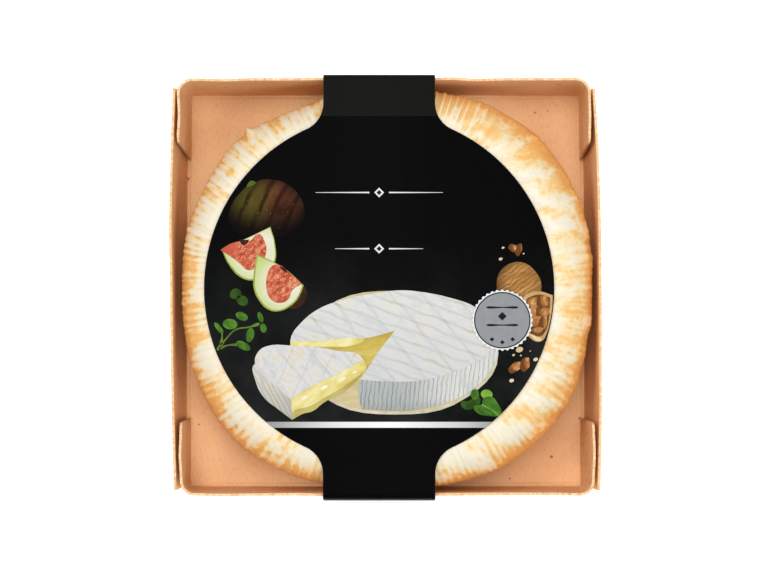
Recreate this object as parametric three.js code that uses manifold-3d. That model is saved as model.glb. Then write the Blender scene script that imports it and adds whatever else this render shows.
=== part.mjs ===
// A soft cheese wheel as it is sold: wrapped in clear film, set in an open tray of folded kraft board, and
// held there by a card label sleeve that runs once round the tray, over the wheel and under the base.
// Millimetres, +Z up. The origin is the bottom centre of the pack, +X its right side and +Y its back.
import * as THREE from "three";
import { mergeVertices } from "three/addons/utils/BufferGeometryUtils.js";
import Module from "manifold-3d";

const wasm = await Module();
wasm.setup();

// Pieces that rest on each other keep this much air between them.
const REST_GAP = 0.1;

// Tray, folded from one blank. The back and front walls turn the corners as flaps inside the side walls.
const BOARD = 0.5;
const TRAY_WIDTH = 87.1;
const TRAY_DEPTH = 85.6;
const TRAY_SHIFT_Y = 0.3;
const RIM_Z = 26;
const SIDE_WALL_LENGTH = 83;
const SIDE_WALL_BOW = 0.87;
const BOW_FULL_Z = 14;
const FLAP_LENGTH = 14.5;
const FLAP_END_SLANT = 1.4;
const FLAP_GAP = 0.45;
const CORNER_RADIUS = 2.2;
const BASE_CORNER_RADIUS = 1.2;

// Label sleeve: a loop of card with a round medallion on its top panel.
const CARD = 0.4;
const SLEEVE_DEPTH = 88;
const SLEEVE_HEIGHT = 29;
const SLEEVE_SHIFT_X = -1.3;
const BAND_WIDTH = 22.9;
const MEDALLION_RADIUS = 35.75;
const MEDALLION_FILLET = 5.9;
const TOP_FOLD_RADIUS = 1.2;
const BOTTOM_FOLD_RADIUS = 0.8;
const FRONT_LEAN = 0.9;
const BACK_LEAN = 0.2;

// Wheel and film: a round plan pressed slightly square by the tray.
const FILM = 0.25;
const CHEESE_INSET = 0.4;
const FILM_HALF_X = 43.2;
const FILM_HALF_Y = 41.7;
const SQUARENESS = 2.35;
const SHOULDER = 6;
const FILM_MOUTH_RADIUS = 5;

// Hot-melt glue spots between each corner flap and its side wall.
const GLUE_RADIUS = 1.8;
const GLUE_THICKNESS = 0.3;
const GLUE_Z = 8;
const GLUE_FROM_CENTRE_Y = 34.5;

// How finely the round stretches are divided.
const BEND_SEGMENTS = 3;
const SLEEVE_BOW_SEGMENTS = 4;
const WALL_SEGMENTS_ALONG = 10;
const WALL_SEGMENTS_UP = 5;
const MEDALLION_SEGMENTS = 12;
const WHEEL_SEGMENTS = 48;
const GLUE_SEGMENTS = 16;
const MERGE_DISTANCE = 1e-4;

const BASE_Z = CARD + REST_GAP;
const FLOOR_Z = BASE_Z + BOARD;
const FLAP_OUTER_X = TRAY_WIDTH / 2 - BOARD - FLAP_GAP;

const kraftBoard = new THREE.MeshStandardMaterial({ color: 0xd9a273, roughness: 0.85, metalness: 0 });
const blackCard = new THREE.MeshStandardMaterial({ color: 0x0b0b0c, roughness: 0.45, metalness: 0 });
const cheeseRind = new THREE.MeshStandardMaterial({ color: 0xf3dfb4, roughness: 0.6, metalness: 0 });
const clearFilm = new THREE.MeshStandardMaterial({ color: 0xfff6e2, roughness: 0.25, metalness: 0 });
const glue = new THREE.MeshStandardMaterial({ color: 0xe0b070, roughness: 0.5, metalness: 0 });

function solidOf(geometry) {
  const bare = geometry.clone();
  bare.deleteAttribute("normal");
  bare.deleteAttribute("uv");
  const merged = mergeVertices(bare, MERGE_DISTANCE);
  const vertProperties = new Float32Array(merged.attributes.position.array);
  const triVerts = new Uint32Array(merged.index.array);
  return new wasm.Manifold(new wasm.Mesh({ numProp: 3, vertProperties, triVerts }));
}

function geometryOf(solid) {
  const mesh = solid.getMesh();
  const geometry = new THREE.BufferGeometry();
  geometry.setAttribute("position", new THREE.BufferAttribute(mesh.vertProperties, 3));
  geometry.setIndex(new THREE.BufferAttribute(mesh.triVerts, 1));
  geometry.computeVertexNormals();
  return geometry;
}

function meshOf(name, geometry, material) {
  const mesh = new THREE.Mesh(geometry, material);
  mesh.name = name;
  return mesh;
}

function extruded(shape, height, bottomZ, curveSegments) {
  const geometry = new THREE.ExtrudeGeometry(shape, { depth: height, bevelEnabled: false, curveSegments });
  return geometry.translate(0, 0, bottomZ);
}

// Extrudes a shape drawn in (y, z) along X, to both sides of the middle.
function alongX(shape, width, curveSegments) {
  const geometry = new THREE.ExtrudeGeometry(shape, { depth: width, bevelEnabled: false, curveSegments });
  const yzToWorld = new THREE.Matrix4().set(0, 0, 1, -width / 2, 1, 0, 0, 0, 0, 1, 0, 0, 0, 0, 0, 1);
  return geometry.applyMatrix4(yzToWorld);
}

// ---- Tray -------------------------------------------------------------------------------------------------

function roundedRectangle(width, depth, radius) {
  const x = width / 2;
  const y = depth / 2;
  const shape = new THREE.Shape();
  shape.moveTo(-x + radius, -y);
  shape.lineTo(x - radius, -y);
  shape.absarc(x - radius, -y + radius, radius, -Math.PI / 2, 0);
  shape.lineTo(x, y - radius);
  shape.absarc(x - radius, y - radius, radius, 0, Math.PI / 2);
  shape.lineTo(-x + radius, y);
  shape.absarc(-x + radius, y - radius, radius, Math.PI / 2, Math.PI);
  shape.lineTo(-x, -y + radius);
  shape.absarc(-x + radius, -y + radius, radius, Math.PI, 1.5 * Math.PI);
  return shape;
}

// The back wall and its two corner flaps, seen from above: one strip of board that turns both corners.
function wallWithFlapsPlan() {
  const outerX = FLAP_OUTER_X;
  const innerX = outerX - BOARD;
  const outerY = TRAY_DEPTH / 2;
  const endY = outerY - FLAP_LENGTH;
  const bend = CORNER_RADIUS;
  const innerBend = bend - BOARD;
  const shape = new THREE.Shape();
  shape.moveTo(outerX, endY);
  shape.lineTo(outerX, outerY - bend);
  shape.absarc(outerX - bend, outerY - bend, bend, 0, Math.PI / 2);
  shape.lineTo(-outerX + bend, outerY);
  shape.absarc(-outerX + bend, outerY - bend, bend, Math.PI / 2, Math.PI);
  shape.lineTo(-outerX, endY);
  shape.lineTo(-innerX, endY);
  shape.lineTo(-innerX, outerY - bend);
  shape.absarc(-outerX + bend, outerY - bend, innerBend, Math.PI, Math.PI / 2, true);
  shape.lineTo(outerX - bend, outerY - BOARD);
  shape.absarc(outerX - bend, outerY - bend, innerBend, Math.PI / 2, 0, true);
  shape.lineTo(innerX, endY);
  return shape;
}

// A wedge that trims the flap ends on a slant, so that they are shorter at the rim than at the floor.
function flapEndTrim() {
  const endY = TRAY_DEPTH / 2 - FLAP_LENGTH;
  const clearOfEndY = endY - BOARD;
  const clearOfRimZ = RIM_Z + BOARD;
  const wedge = new THREE.Shape();
  wedge.moveTo(clearOfEndY, FLOOR_Z);
  wedge.lineTo(endY, FLOOR_Z);
  wedge.lineTo(endY + FLAP_END_SLANT, clearOfRimZ);
  wedge.lineTo(clearOfEndY, clearOfRimZ);
  return solidOf(alongX(wedge, TRAY_WIDTH, 1));
}

// A side wall: straight at its fold, and pushed outwards by the wheel higher up.
function sideWall(side) {
  const height = RIM_Z - BASE_Z;
  const divisions = [1, WALL_SEGMENTS_ALONG, WALL_SEGMENTS_UP];
  const geometry = new THREE.BoxGeometry(BOARD, SIDE_WALL_LENGTH, height, ...divisions);
  geometry.translate(TRAY_WIDTH / 2 - BOARD / 2, 0, BASE_Z + height / 2);
  const place = geometry.attributes.position;
  for (let i = 0; i < place.count; i++) {
    const along = (2 * place.getY(i)) / SIDE_WALL_LENGTH;
    const up = THREE.MathUtils.smoothstep(place.getZ(i), BASE_Z, BOW_FULL_Z);
    place.setX(i, place.getX(i) + SIDE_WALL_BOW * (1 - along * along) * up);
  }
  return solidOf(side > 0 ? geometry : geometry.rotateZ(Math.PI));
}

function trayGeometry() {
  const basePlan = roundedRectangle(TRAY_WIDTH, TRAY_DEPTH, BASE_CORNER_RADIUS);
  const base = solidOf(extruded(basePlan, BOARD, BASE_Z, BEND_SEGMENTS));
  const strip = extruded(wallWithFlapsPlan(), RIM_Z - BASE_Z, BASE_Z, BEND_SEGMENTS);
  const wall = solidOf(strip).subtract(flapEndTrim());
  const backWall = geometryOf(wall);
  const frontWall = solidOf(backWall.clone().rotateZ(Math.PI));
  const tray = base.add(wall).add(frontWall).add(sideWall(1)).add(sideWall(-1));
  return geometryOf(tray).translate(0, TRAY_SHIFT_Y, 0);
}

// ---- Label sleeve -----------------------------------------------------------------------------------------

// The loop of the sleeve in (y, z), drawn at a depth into the card. Its front leans out below the top fold.
function sleeveLoop(depthIn) {
  const topBend = TOP_FOLD_RADIUS - depthIn;
  const bottomBend = BOTTOM_FOLD_RADIUS - depthIn;
  const bottom = depthIn;
  const top = SLEEVE_HEIGHT - depthIn;
  const front = -SLEEVE_DEPTH / 2 + FRONT_LEAN + depthIn;
  const back = SLEEVE_DEPTH / 2 - BACK_LEAN - depthIn;
  const foldUp = SLEEVE_HEIGHT - TOP_FOLD_RADIUS;
  const middle = SLEEVE_HEIGHT / 2;
  const shape = new THREE.Shape();
  shape.moveTo(front + bottomBend, bottom);
  shape.lineTo(back - bottomBend, bottom);
  shape.absarc(back - bottomBend, BOTTOM_FOLD_RADIUS, bottomBend, -Math.PI / 2, 0);
  shape.quadraticCurveTo(back + 2 * BACK_LEAN, middle, back, foldUp);
  shape.absarc(back - topBend, foldUp, topBend, 0, Math.PI / 2);
  shape.lineTo(front + topBend, top);
  shape.absarc(front + topBend, foldUp, topBend, Math.PI / 2, Math.PI);
  shape.quadraticCurveTo(front - 2 * FRONT_LEAN, middle, front, BOTTOM_FOLD_RADIUS);
  shape.absarc(front + bottomBend, BOTTOM_FOLD_RADIUS, bottomBend, Math.PI, 1.5 * Math.PI);
  return shape;
}

// The medallion's outline: a circle that runs into the band through four concave fillets.
function medallionOutline() {
  const halfBand = BAND_WIDTH / 2;
  const fillet = MEDALLION_FILLET;
  const filletX = halfBand + fillet;
  const filletY = Math.sqrt((MEDALLION_RADIUS + fillet) ** 2 - filletX ** 2);
  const turn = Math.atan2(filletY, filletX);
  const shape = new THREE.Shape();
  shape.moveTo(halfBand, -filletY);
  shape.absarc(filletX, -filletY, fillet, Math.PI, Math.PI - turn, true);
  shape.absarc(0, 0, MEDALLION_RADIUS, -turn, turn);
  shape.absarc(filletX, filletY, fillet, Math.PI + turn, Math.PI, true);
  shape.lineTo(-halfBand, filletY);
  shape.absarc(-filletX, filletY, fillet, 0, -turn, true);
  shape.absarc(0, 0, MEDALLION_RADIUS, Math.PI - turn, Math.PI + turn);
  shape.absarc(-filletX, -filletY, fillet, turn, 0, true);
  return shape;
}

function sleeveGeometry() {
  const loop = sleeveLoop(0);
  loop.holes.push(sleeveLoop(CARD));
  const band = solidOf(alongX(loop, BAND_WIDTH, SLEEVE_BOW_SEGMENTS));
  const medallion = solidOf(extruded(medallionOutline(), CARD, SLEEVE_HEIGHT - CARD, MEDALLION_SEGMENTS));
  return geometryOf(band.add(medallion)).translate(SLEEVE_SHIFT_X, 0, 0);
}

// ---- Wheel and film ---------------------------------------------------------------------------------------

// Widens a round solid of radius FILM_HALF_X into the wheel's slightly square plan.
function pressedSquare(geometry) {
  const place = geometry.attributes.position;
  for (let i = 0; i < place.count; i++) {
    const x = place.getX(i);
    const y = place.getY(i);
    const angle = Math.atan2(y, x);
    const reachX = Math.abs(Math.cos(angle) / FILM_HALF_X) ** SQUARENESS;
    const reachY = Math.abs(Math.sin(angle) / FILM_HALF_Y) ** SQUARENESS;
    const scale = (reachX + reachY) ** (-1 / SQUARENESS) / FILM_HALF_X;
    place.setXY(i, x * scale, y * scale);
  }
  return geometry;
}

// Half a section of the wheel at a depth below the film's outer face, from (start, bottom) to the top centre.
function wheelSection(depthIn, start) {
  const bottom = FLOOR_Z + REST_GAP + depthIn;
  const top = SLEEVE_HEIGHT - CARD - REST_GAP - depthIn;
  const radius = FILM_HALF_X - depthIn;
  const bend = SHOULDER - depthIn;
  const path = new THREE.Path();
  path.moveTo(start, bottom);
  path.lineTo(radius - bend, bottom);
  path.absarc(radius - bend, bottom + bend, bend, -Math.PI / 2, 0);
  path.lineTo(radius, top - bend);
  path.absarc(radius - bend, top - bend, bend, 0, Math.PI / 2);
  path.lineTo(0, top);
  return path.getPoints(BEND_SEGMENTS);
}

function turned(section) {
  const round = new THREE.LatheGeometry(section, WHEEL_SEGMENTS).rotateX(Math.PI / 2);
  return pressedSquare(round).translate(0, TRAY_SHIFT_Y, 0);
}

function cheeseGeometry() {
  return turned(wheelSection(CHEESE_INSET, 0));
}

// The film covers the wheel all over and is gathered round a small mouth under its middle.
function filmGeometry() {
  const outside = wheelSection(0, FILM_MOUTH_RADIUS);
  const inside = wheelSection(FILM, FILM_MOUTH_RADIUS).reverse();
  return turned([...inside, ...outside]);
}

// ---- Glue spots -------------------------------------------------------------------------------------------

function glueSpotGeometry(side, end) {
  const geometry = new THREE.CylinderGeometry(GLUE_RADIUS, GLUE_RADIUS, GLUE_THICKNESS, GLUE_SEGMENTS);
  geometry.rotateZ(Math.PI / 2);
  const x = FLAP_OUTER_X + FLAP_GAP / 2;
  return geometry.translate(side * x, end * GLUE_FROM_CENTRE_Y + TRAY_SHIFT_Y, GLUE_Z);
}

const pack = new THREE.Group();
pack.add(meshOf("tray", trayGeometry(), kraftBoard));
pack.add(meshOf("cheese_wheel", cheeseGeometry(), cheeseRind));
pack.add(meshOf("wrapping_film", filmGeometry(), clearFilm));
pack.add(meshOf("label_sleeve", sleeveGeometry(), blackCard));
for (const [side, sideName] of [[-1, "left"], [1, "right"]]) {
  for (const [end, endName] of [[-1, "front"], [1, "back"]]) {
    pack.add(meshOf(`glue_spot_${endName}_${sideName}`, glueSpotGeometry(side, end), glue));
  }
}

export default pack;
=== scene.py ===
import math

import bpy
import numpy as np
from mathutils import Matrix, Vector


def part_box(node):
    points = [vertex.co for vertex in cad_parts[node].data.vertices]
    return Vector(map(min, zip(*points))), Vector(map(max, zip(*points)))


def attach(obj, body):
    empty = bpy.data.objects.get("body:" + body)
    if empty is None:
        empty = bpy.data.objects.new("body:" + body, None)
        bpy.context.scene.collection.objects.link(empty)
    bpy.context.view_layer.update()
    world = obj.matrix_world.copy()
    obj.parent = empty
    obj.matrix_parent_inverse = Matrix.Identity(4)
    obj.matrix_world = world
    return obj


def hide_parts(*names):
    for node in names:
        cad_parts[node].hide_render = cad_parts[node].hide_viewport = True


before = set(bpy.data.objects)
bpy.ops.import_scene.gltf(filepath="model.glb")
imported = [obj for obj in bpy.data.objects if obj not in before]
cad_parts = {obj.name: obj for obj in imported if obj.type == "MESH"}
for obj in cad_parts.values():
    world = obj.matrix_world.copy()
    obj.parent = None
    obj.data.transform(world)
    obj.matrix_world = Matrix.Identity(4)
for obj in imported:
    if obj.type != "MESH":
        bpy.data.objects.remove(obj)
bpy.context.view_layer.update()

MM = 0.001


# ---- Kraft tray ----
# An open tray of uncoated kraft board, folded up from one blank. The back and front walls turn the
# corners as flaps, which stand inside the side walls. Each fold in the floor has a raised bead.

TRAY_LOW, TRAY_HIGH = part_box("tray")
BOARD = 0.5 * MM
EDGE_ROUND = BOARD / 7
SIDE_BOW = 0.87 * MM
FLAP_GAP = 0.45 * MM
FOLD_RADIUS = 0.35 * MM
FOLD_ROWS = 0.2
BACK_SLACK = 0.25 * MM
TRAY_SKEW = 0.35 * MM
TRAY_SHIFT_Y = (TRAY_LOW.y + TRAY_HIGH.y) / 2
FLOOR_MID_Z = TRAY_LOW.z + BOARD / 2
FOLD_TOP_Z = FLOOR_MID_Z + FOLD_RADIUS
RIM_Z = TRAY_HIGH.z - EDGE_ROUND
SIDE_MID_X = TRAY_HIGH.x - SIDE_BOW - BOARD / 2
END_MID_Y = (TRAY_HIGH.y - TRAY_LOW.y) / 2 - BOARD / 2
FLAP_MID_X = SIDE_MID_X - BOARD - FLAP_GAP


def pick(*pieces):
    """Selects some pieces and nothing else, with the first of them in hand."""
    bpy.ops.object.select_all(action="DESELECT")
    for piece in pieces:
        piece.select_set(True)
    if pieces:
        bpy.context.view_layer.objects.active = pieces[0]


def flat_grid(name, columns, rows):
    """Adds a flat grid and returns it with every vertex's place along and across it, from 0 to 1."""
    pick()
    bpy.ops.mesh.primitive_grid_add(x_subdivisions=columns, y_subdivisions=rows, size=1)
    piece = bpy.context.object
    piece.name = piece.data.name = name
    flat = np.empty(len(piece.data.vertices) * 3)
    piece.data.vertices.foreach_get("co", flat)
    along, across, _ = flat.reshape(-1, 3).T
    return piece, along + 0.5, across + 0.5


def shape(piece, x, y, z):
    """Moves the vertices of a flat grid to where they belong on the finished piece."""
    piece.data.vertices.foreach_set("co", np.column_stack((x, y, z)).ravel())
    piece.data.update()


def ease(low, high, value):
    """Rises smoothly from 0 at low to 1 at high."""
    t = np.clip((value - low) / (high - low), 0, 1)
    return t * t * (3 - 2 * t)


def hump(value, middle, width):
    """A smooth hump that is 1 at its middle."""
    return np.exp(-(((value - middle) / width) ** 2))


def waves(u, v, columns, rows, seed):
    """Soft random waves from -1 to 1. They close on themselves along u; u and v run from 0 to 1."""
    lattice = np.random.default_rng(seed).uniform(-1, 1, (columns, rows + 2))
    x = (u % 1) * columns
    y = np.clip(v, 0, 1) * rows
    i = np.floor(x).astype(int) % columns
    j = np.floor(y).astype(int)
    fx = ease(0, 1, x - np.floor(x))
    fy = ease(0, 1, y - j)
    ahead = (i + 1) % columns
    near = lattice[i, j] * (1 - fx) + lattice[ahead, j] * fx
    far = lattice[i, j + 1] * (1 - fx) + lattice[ahead, j + 1] * fx
    return near * (1 - fy) + far * fy


def finish_with(piece, kind, **settings):
    """Adds a modifier to a piece and applies it."""
    pick(piece)
    modifier = piece.modifiers.new(kind, kind)
    for key, value in settings.items():
        setattr(modifier, key, value)
    bpy.ops.object.modifier_apply(modifier=modifier.name)


def round_edges(piece, width):
    """Rounds a piece's sharp edges a little."""
    finish_with(piece, "BEVEL", width=width, segments=2, limit_method="ANGLE", angle_limit=math.radians(60))


def join(name, pieces):
    """Joins pieces into one object under a name."""
    pick(*pieces)
    bpy.ops.object.join()
    pieces[0].name = pieces[0].data.name = name
    return pieces[0]


class Finish:
    """A surface finish, built up from shader nodes."""

    def __init__(self, name):
        self.material = bpy.data.materials.new(name)
        self.material.use_nodes = True
        self.tree = self.material.node_tree
        self.shader = self.tree.nodes["Principled BSDF"]

    def feed(self, socket, value):
        if isinstance(value, bpy.types.NodeSocket):
            self.tree.links.new(value, socket)
        else:
            socket.default_value = value

    def node(self, kind, out=0, **settings):
        """Adds a node, sets its inputs and properties by name, and returns one of its outputs."""
        added = self.tree.nodes.new("ShaderNode" + kind)
        for key, value in settings.items():
            socket = added.inputs.get(key.replace("_", " "))
            if socket is None:
                setattr(added, key, value)
            else:
                self.feed(socket, value)
        return added.outputs[out]

    def noise(self, place, scale, detail, **more):
        return self.node("TexNoise", Vector=place, Scale=scale, Detail=detail, **more)

    def stripes(self, place, pitch, waviness, detail, **more):
        """Stripes across X. A wave texture's own stripes are 0.314 apart."""
        return self.node("TexWave", out="Fac", Vector=place, Scale=0.314 / pitch, Distortion=waviness,
                         Detail=detail, **more)

    def math(self, operation, *values, clamp=False):
        added = self.tree.nodes.new("ShaderNodeMath")
        added.operation = operation
        added.use_clamp = clamp
        for socket, value in zip(added.inputs, values):
            self.feed(socket, value)
        return added.outputs[0]

    def times(self, first, second):
        return self.math("MULTIPLY", first, second)

    def plus(self, first, second):
        return self.math("ADD", first, second)

    def mix(self, factor, first, second, blend="MIX"):
        added = self.tree.nodes.new("ShaderNodeMix")
        added.data_type = "RGBA"
        added.blend_type = blend
        for place, value in ((0, factor), (6, first), (7, second)):
            if isinstance(value, tuple):
                value = (*value, 1)
            self.feed(added.inputs[place], value)
        return added.outputs[2]

    def ramp(self, value, *stops):
        """Grades a value: each stop is a place from 0 to 1 and a grey or a colour there."""
        added = self.tree.nodes.new("ShaderNodeValToRGB")
        self.feed(added.inputs[0], value)
        points = added.color_ramp.elements
        while len(points) < len(stops):
            points.new(1)
        for point, (place, tone) in zip(points, stops):
            point.position = place
            point.color = (*tone, 1) if isinstance(tone, tuple) else (tone, tone, tone, 1)
        return added.outputs[0]

    def object_place(self):
        return self.node("TexCoord", out="Object")

    def axis(self, place, name):
        return self.node("SeparateXYZ", out=name, Vector=place)

    def between(self, value, start, end, **more):
        """How far a value has come on its way from start to end, from 0 to 1."""
        return self.node("MapRange", Value=value, From_Min=start, From_Max=end, **more)

    def turned(self, place, degrees):
        return self.node("Mapping", Vector=place, Rotation=(0, 0, math.radians(degrees)))

    def bump(self, height, distance, strength):
        return self.node("Bump", Height=height, Distance=distance, Strength=strength)

    def shade(self, **inputs):
        for key, value in inputs.items():
            socket = self.shader.inputs[key.replace("_", " ")]
            self.feed(socket, (*value, 1) if isinstance(value, tuple) and len(value) == 3 else value)
        return self.material


def kraft_board():
    """Uncoated brown board: soft clouds, short fibres and dark specks."""
    board = Finish("kraft_board")
    place = board.object_place()
    tone = board.ramp(board.noise(place, 75, 4), (0.3, (0.79, 0.455, 0.215)), (0.7, (0.88, 0.56, 0.3)))
    grain = board.node("Mapping", Vector=place, Scale=(2600, 900, 900))
    fibres = board.noise(grain, 1, 3)
    tone = board.mix(board.ramp(fibres, (0.42, 0), (0.75, 0.42)), tone, (0.86, 0.6, 0.37))
    tone = board.mix(board.ramp(fibres, (0.22, 0.36), (0.42, 0)), tone, (0.42, 0.2, 0.085))
    cells = {"Vector": place, "Scale": 330.0}
    chosen = board.node("SeparateXYZ", Vector=board.node("TexVoronoi", out="Color", **cells))
    size = board.times(board.ramp(chosen, (0.4, 0), (1, 1)), 0.15)
    speck = board.math("LESS_THAN", board.node("TexVoronoi", **cells), size)
    tone = board.mix(board.times(speck, 0.7), tone, (0.16, 0.07, 0.035))
    relief = board.bump(board.noise(place, 2400, 2), 0.05 * MM, 0.5)
    return board.shade(Base_Color=tone, Roughness=0.82, Specular_IOR_Level=0.25, Normal=relief)


def board_edge():
    """The board's cut edge: paler, with torn fibres."""
    edge = Finish("kraft_board_edge")
    tear = edge.noise(edge.object_place(), 1500, 4, Roughness=0.7)
    tone = edge.ramp(tear, (0.3, (0.46, 0.22, 0.09)), (0.5, (0.66, 0.4, 0.21)), (0.72, (0.84, 0.64, 0.43)))
    relief = edge.bump(tear, 0.15 * MM, 0.8)
    return edge.shade(Base_Color=tone, Roughness=0.9, Specular_IOR_Level=0.2, Normal=relief)


def fold_and_rise(up):
    """Splits a wall's rows into the turn of its fold and the share of the height above it."""
    fold_turn = np.clip(up / FOLD_ROWS, 0, 1) * math.pi / 2
    return fold_turn, np.clip((up - FOLD_ROWS) / (1 - FOLD_ROWS), 0, 1)


def wall_height(up, foot_z, rim_z):
    """The height of a wall's vertices, round its fold and then straight up to its rim."""
    fold_turn, rise = fold_and_rise(up)
    on_fold = foot_z + FOLD_RADIUS * (1 - np.cos(fold_turn))
    return np.where(up < FOLD_ROWS, on_fold, FOLD_TOP_Z + (rim_z - FOLD_TOP_Z) * rise)


def end_wall(name, back):
    """The back or front wall with its two flaps: one strip of board that turns both corners."""
    strip, along, up = flat_grid(name, 300, 30)
    fold_turn, rise = fold_and_rise(up)
    reach = 2 * np.abs(along - 0.5)
    wall_share, bend_share = 0.66, 0.78
    on_wall = 1 - ease(wall_share, bend_share, reach)
    seed = 11 if back else 12
    foot_z = np.where(on_wall > 0.5, FLOOR_MID_Z, FLOOR_MID_Z + BOARD)
    rim_z = RIM_Z + 0.16 * MM * waves(along, rise, 26, 1, seed) * ease(0.5, 1, rise)
    tuck = FOLD_RADIUS * (1 - np.sin(fold_turn)) * on_wall
    wobble = 0.16 * MM * waves(along, rise, 18, 2, seed + 20) * ease(0.1, 1, rise) - tuck
    radius = 0.9 * MM + 2.0 * MM * ease(0, 0.9, rise)
    turn = np.clip((reach - wall_share) / (bend_share - wall_share), 0, 1) * math.pi / 2
    flap_length, flap_slant = (14.4 * MM, 1.5 * MM) if back else (15.0 * MM, 0.3 * MM)
    cut_corner = 1.3 * MM * (1 - np.sqrt(1 - ease(0.93, 1, rise) ** 2 * 0.98))
    flap_run = np.clip((reach - bend_share) / (1 - bend_share), 0, 1)
    end_y = END_MID_Y - (flap_length - flap_slant * rise - cut_corner)
    bent_x = FLAP_MID_X - radius + (radius + wobble) * np.sin(turn)
    bent_y = END_MID_Y - radius + (radius + wobble) * np.cos(turn)
    x = np.where(reach < wall_share, reach / wall_share * (FLAP_MID_X - radius), bent_x)
    x = x * np.sign(along - 0.5)
    y = np.where(reach < wall_share, END_MID_Y + wobble, bent_y)
    y = np.where(reach > bend_share, bent_y + (end_y - bent_y) * flap_run, y)
    z = wall_height(up, foot_z, rim_z)
    if back:
        shape(strip, x - TRAY_SKEW * rise, y + TRAY_SHIFT_Y + BACK_SLACK, z)
    else:
        shape(strip, TRAY_SKEW * rise - x, TRAY_SHIFT_Y - y, z)
    return strip


def side_wall(name, side):
    """A side wall: straight at its fold, and pushed outwards by the wheel higher up."""
    strip, along, up = flat_grid(name, 120, 30)
    fold_turn, rise = fold_and_rise(up)
    centred = 2 * along - 1
    half_length = 41.9 * MM - 0.9 * MM * rise ** 3 * np.where(along > 0.5, 1, 0.2)
    bow = SIDE_BOW * (1 - centred ** 2) * ease(0, 0.55, rise)
    rim_z = RIM_Z + 0.18 * MM * waves(along / 2, rise, 18, 1, 31 + side)
    wobble = 0.13 * MM * waves(along / 2, rise, 12, 2, 41 + side) * ease(0.1, 1, rise)
    x = SIDE_MID_X + bow + wobble - FOLD_RADIUS * (1 - np.sin(fold_turn))
    z = wall_height(up, FLOOR_MID_Z, rim_z)
    shape(strip, x * side - TRAY_SKEW * centred * rise, centred * half_length + TRAY_SHIFT_Y, z)
    return strip


def packed_to_edges(share):
    """Spreads grid lines from -1 to 1 so that most of them lie close to both edges."""
    centred = 2 * share - 1
    lines, places = [0, 0.4, 1], [0, 0.95, 1]
    return np.sign(centred) * np.interp(np.abs(centred), lines, places)


def tray_floor(name):
    """The tray's floor, with a raised bead and a crease inside it along all four folds."""
    plate, along, across = flat_grid(name, 120, 120)
    half_x = SIDE_MID_X - FOLD_RADIUS
    half_y = END_MID_Y - FOLD_RADIUS
    x = packed_to_edges(along) * half_x
    y = packed_to_edges(across) * half_y
    inward = np.minimum(half_x - np.abs(x), half_y - np.abs(y))
    from_fold = inward + 0.05 * MM * waves(along, across, 9, 9, 51)
    bead = 0.23 * MM * hump(from_fold, 0.28 * MM, 0.17 * MM)
    crease = 0.18 * MM * hump(from_fold, 0.68 * MM, 0.1 * MM)
    sag = 0.1 * MM * waves(along, across, 5, 5, 52) * ease(0, 6 * MM, inward)
    slack = np.where(y > 0, BACK_SLACK * y / half_y, 0)
    shape(plate, x, y + TRAY_SHIFT_Y + slack, FLOOR_MID_Z + bead - crease + sag)
    return plate


tray_parts = [tray_floor("tray_floor"), end_wall("back_wall", True), end_wall("front_wall", False),
              side_wall("right_wall", 1), side_wall("left_wall", -1)]
board_finish, edge_finish = kraft_board(), board_edge()
for part in tray_parts:
    part.data.materials.append(board_finish)
    part.data.materials.append(edge_finish)
    finish_with(part, "SOLIDIFY", thickness=BOARD, offset=0, material_offset_rim=1)
    round_edges(part, EDGE_ROUND)
    bpy.ops.object.shade_smooth()
tray = join("kraft_tray", tray_parts)
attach(tray, "root")
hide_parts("tray")


# ---- Glue spots ----
# Small flat drops of hot-melt glue that hold each corner flap to its side wall. They are amber and
# slightly cloudy, pressed on hot.


def hot_melt_glue():
    glue = Finish("hot_melt_glue")
    cloud = glue.noise(glue.object_place(), 900, 3)
    tone = glue.ramp(cloud, (0.35, (0.55, 0.3, 0.1)), (0.65, (0.8, 0.55, 0.26)))
    return glue.shade(Base_Color=tone, Roughness=0.3, Normal=glue.bump(cloud, 0.1 * MM, 0.5))


glue_finish = hot_melt_glue()
for node_name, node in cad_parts.items():
    if node_name.startswith("glue_spot"):
        node.data.materials.clear()
        node.data.materials.append(glue_finish)


# ---- Cheese wheel ----
# A soft wheel with a thin bloomy rind, pressed slightly square by the tray. The rind is cream where
# it is dry and golden where it sweats against the film.

WHEEL_LOW, WHEEL_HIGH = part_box("cheese_wheel")
FILM_LOW, FILM_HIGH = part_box("wrapping_film")
WHEEL_SQUARENESS = 2.18
WHEEL_SHORTER_Y = 1.5 * MM
SHOULDER = 6 * MM
SHOULDER_RUN = SHOULDER * math.pi / 2
TOP_RUN = 37.2 * MM
SIDE_RUN = FILM_HIGH.z - FILM_LOW.z - 2 * SHOULDER
SECTION_LENGTH = 2 * TOP_RUN + 2 * SHOULDER_RUN + SIDE_RUN
GIRTH = 265 * MM


def at_degrees(degrees, table):
    """Reads a value off a table of angles round the wheel, straight between its entries."""
    return np.interp(degrees, list(table), list(table.values()))


def reach_at(angle, half_x, half_y, squareness):
    """How far the plan of the wheel reaches from its middle at an angle."""
    parts = np.abs(np.cos(angle) / half_x) ** squareness + np.abs(np.sin(angle) / half_y) ** squareness
    return parts ** (-1 / squareness)


def pull_in(angle):
    """How far the wheel keeps back from a full plan at an angle: it is flatter at its back left."""
    return MM * at_degrees(np.degrees(angle), {
        0: 0.4, 45: 0, 73: 0.3, 90: 0.8, 108: 1.4, 116: 1.8, 124: 1.6, 131: 1.2, 137: 1.1, 147: 1.4, 155: 1.4,
        164: 1, 190: 1.1, 200: 0.9, 215: 0.5, 228: 0, 285: 0, 300: -0.4, 330: -0.1, 345: 0.7, 360: 0.4})


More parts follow.
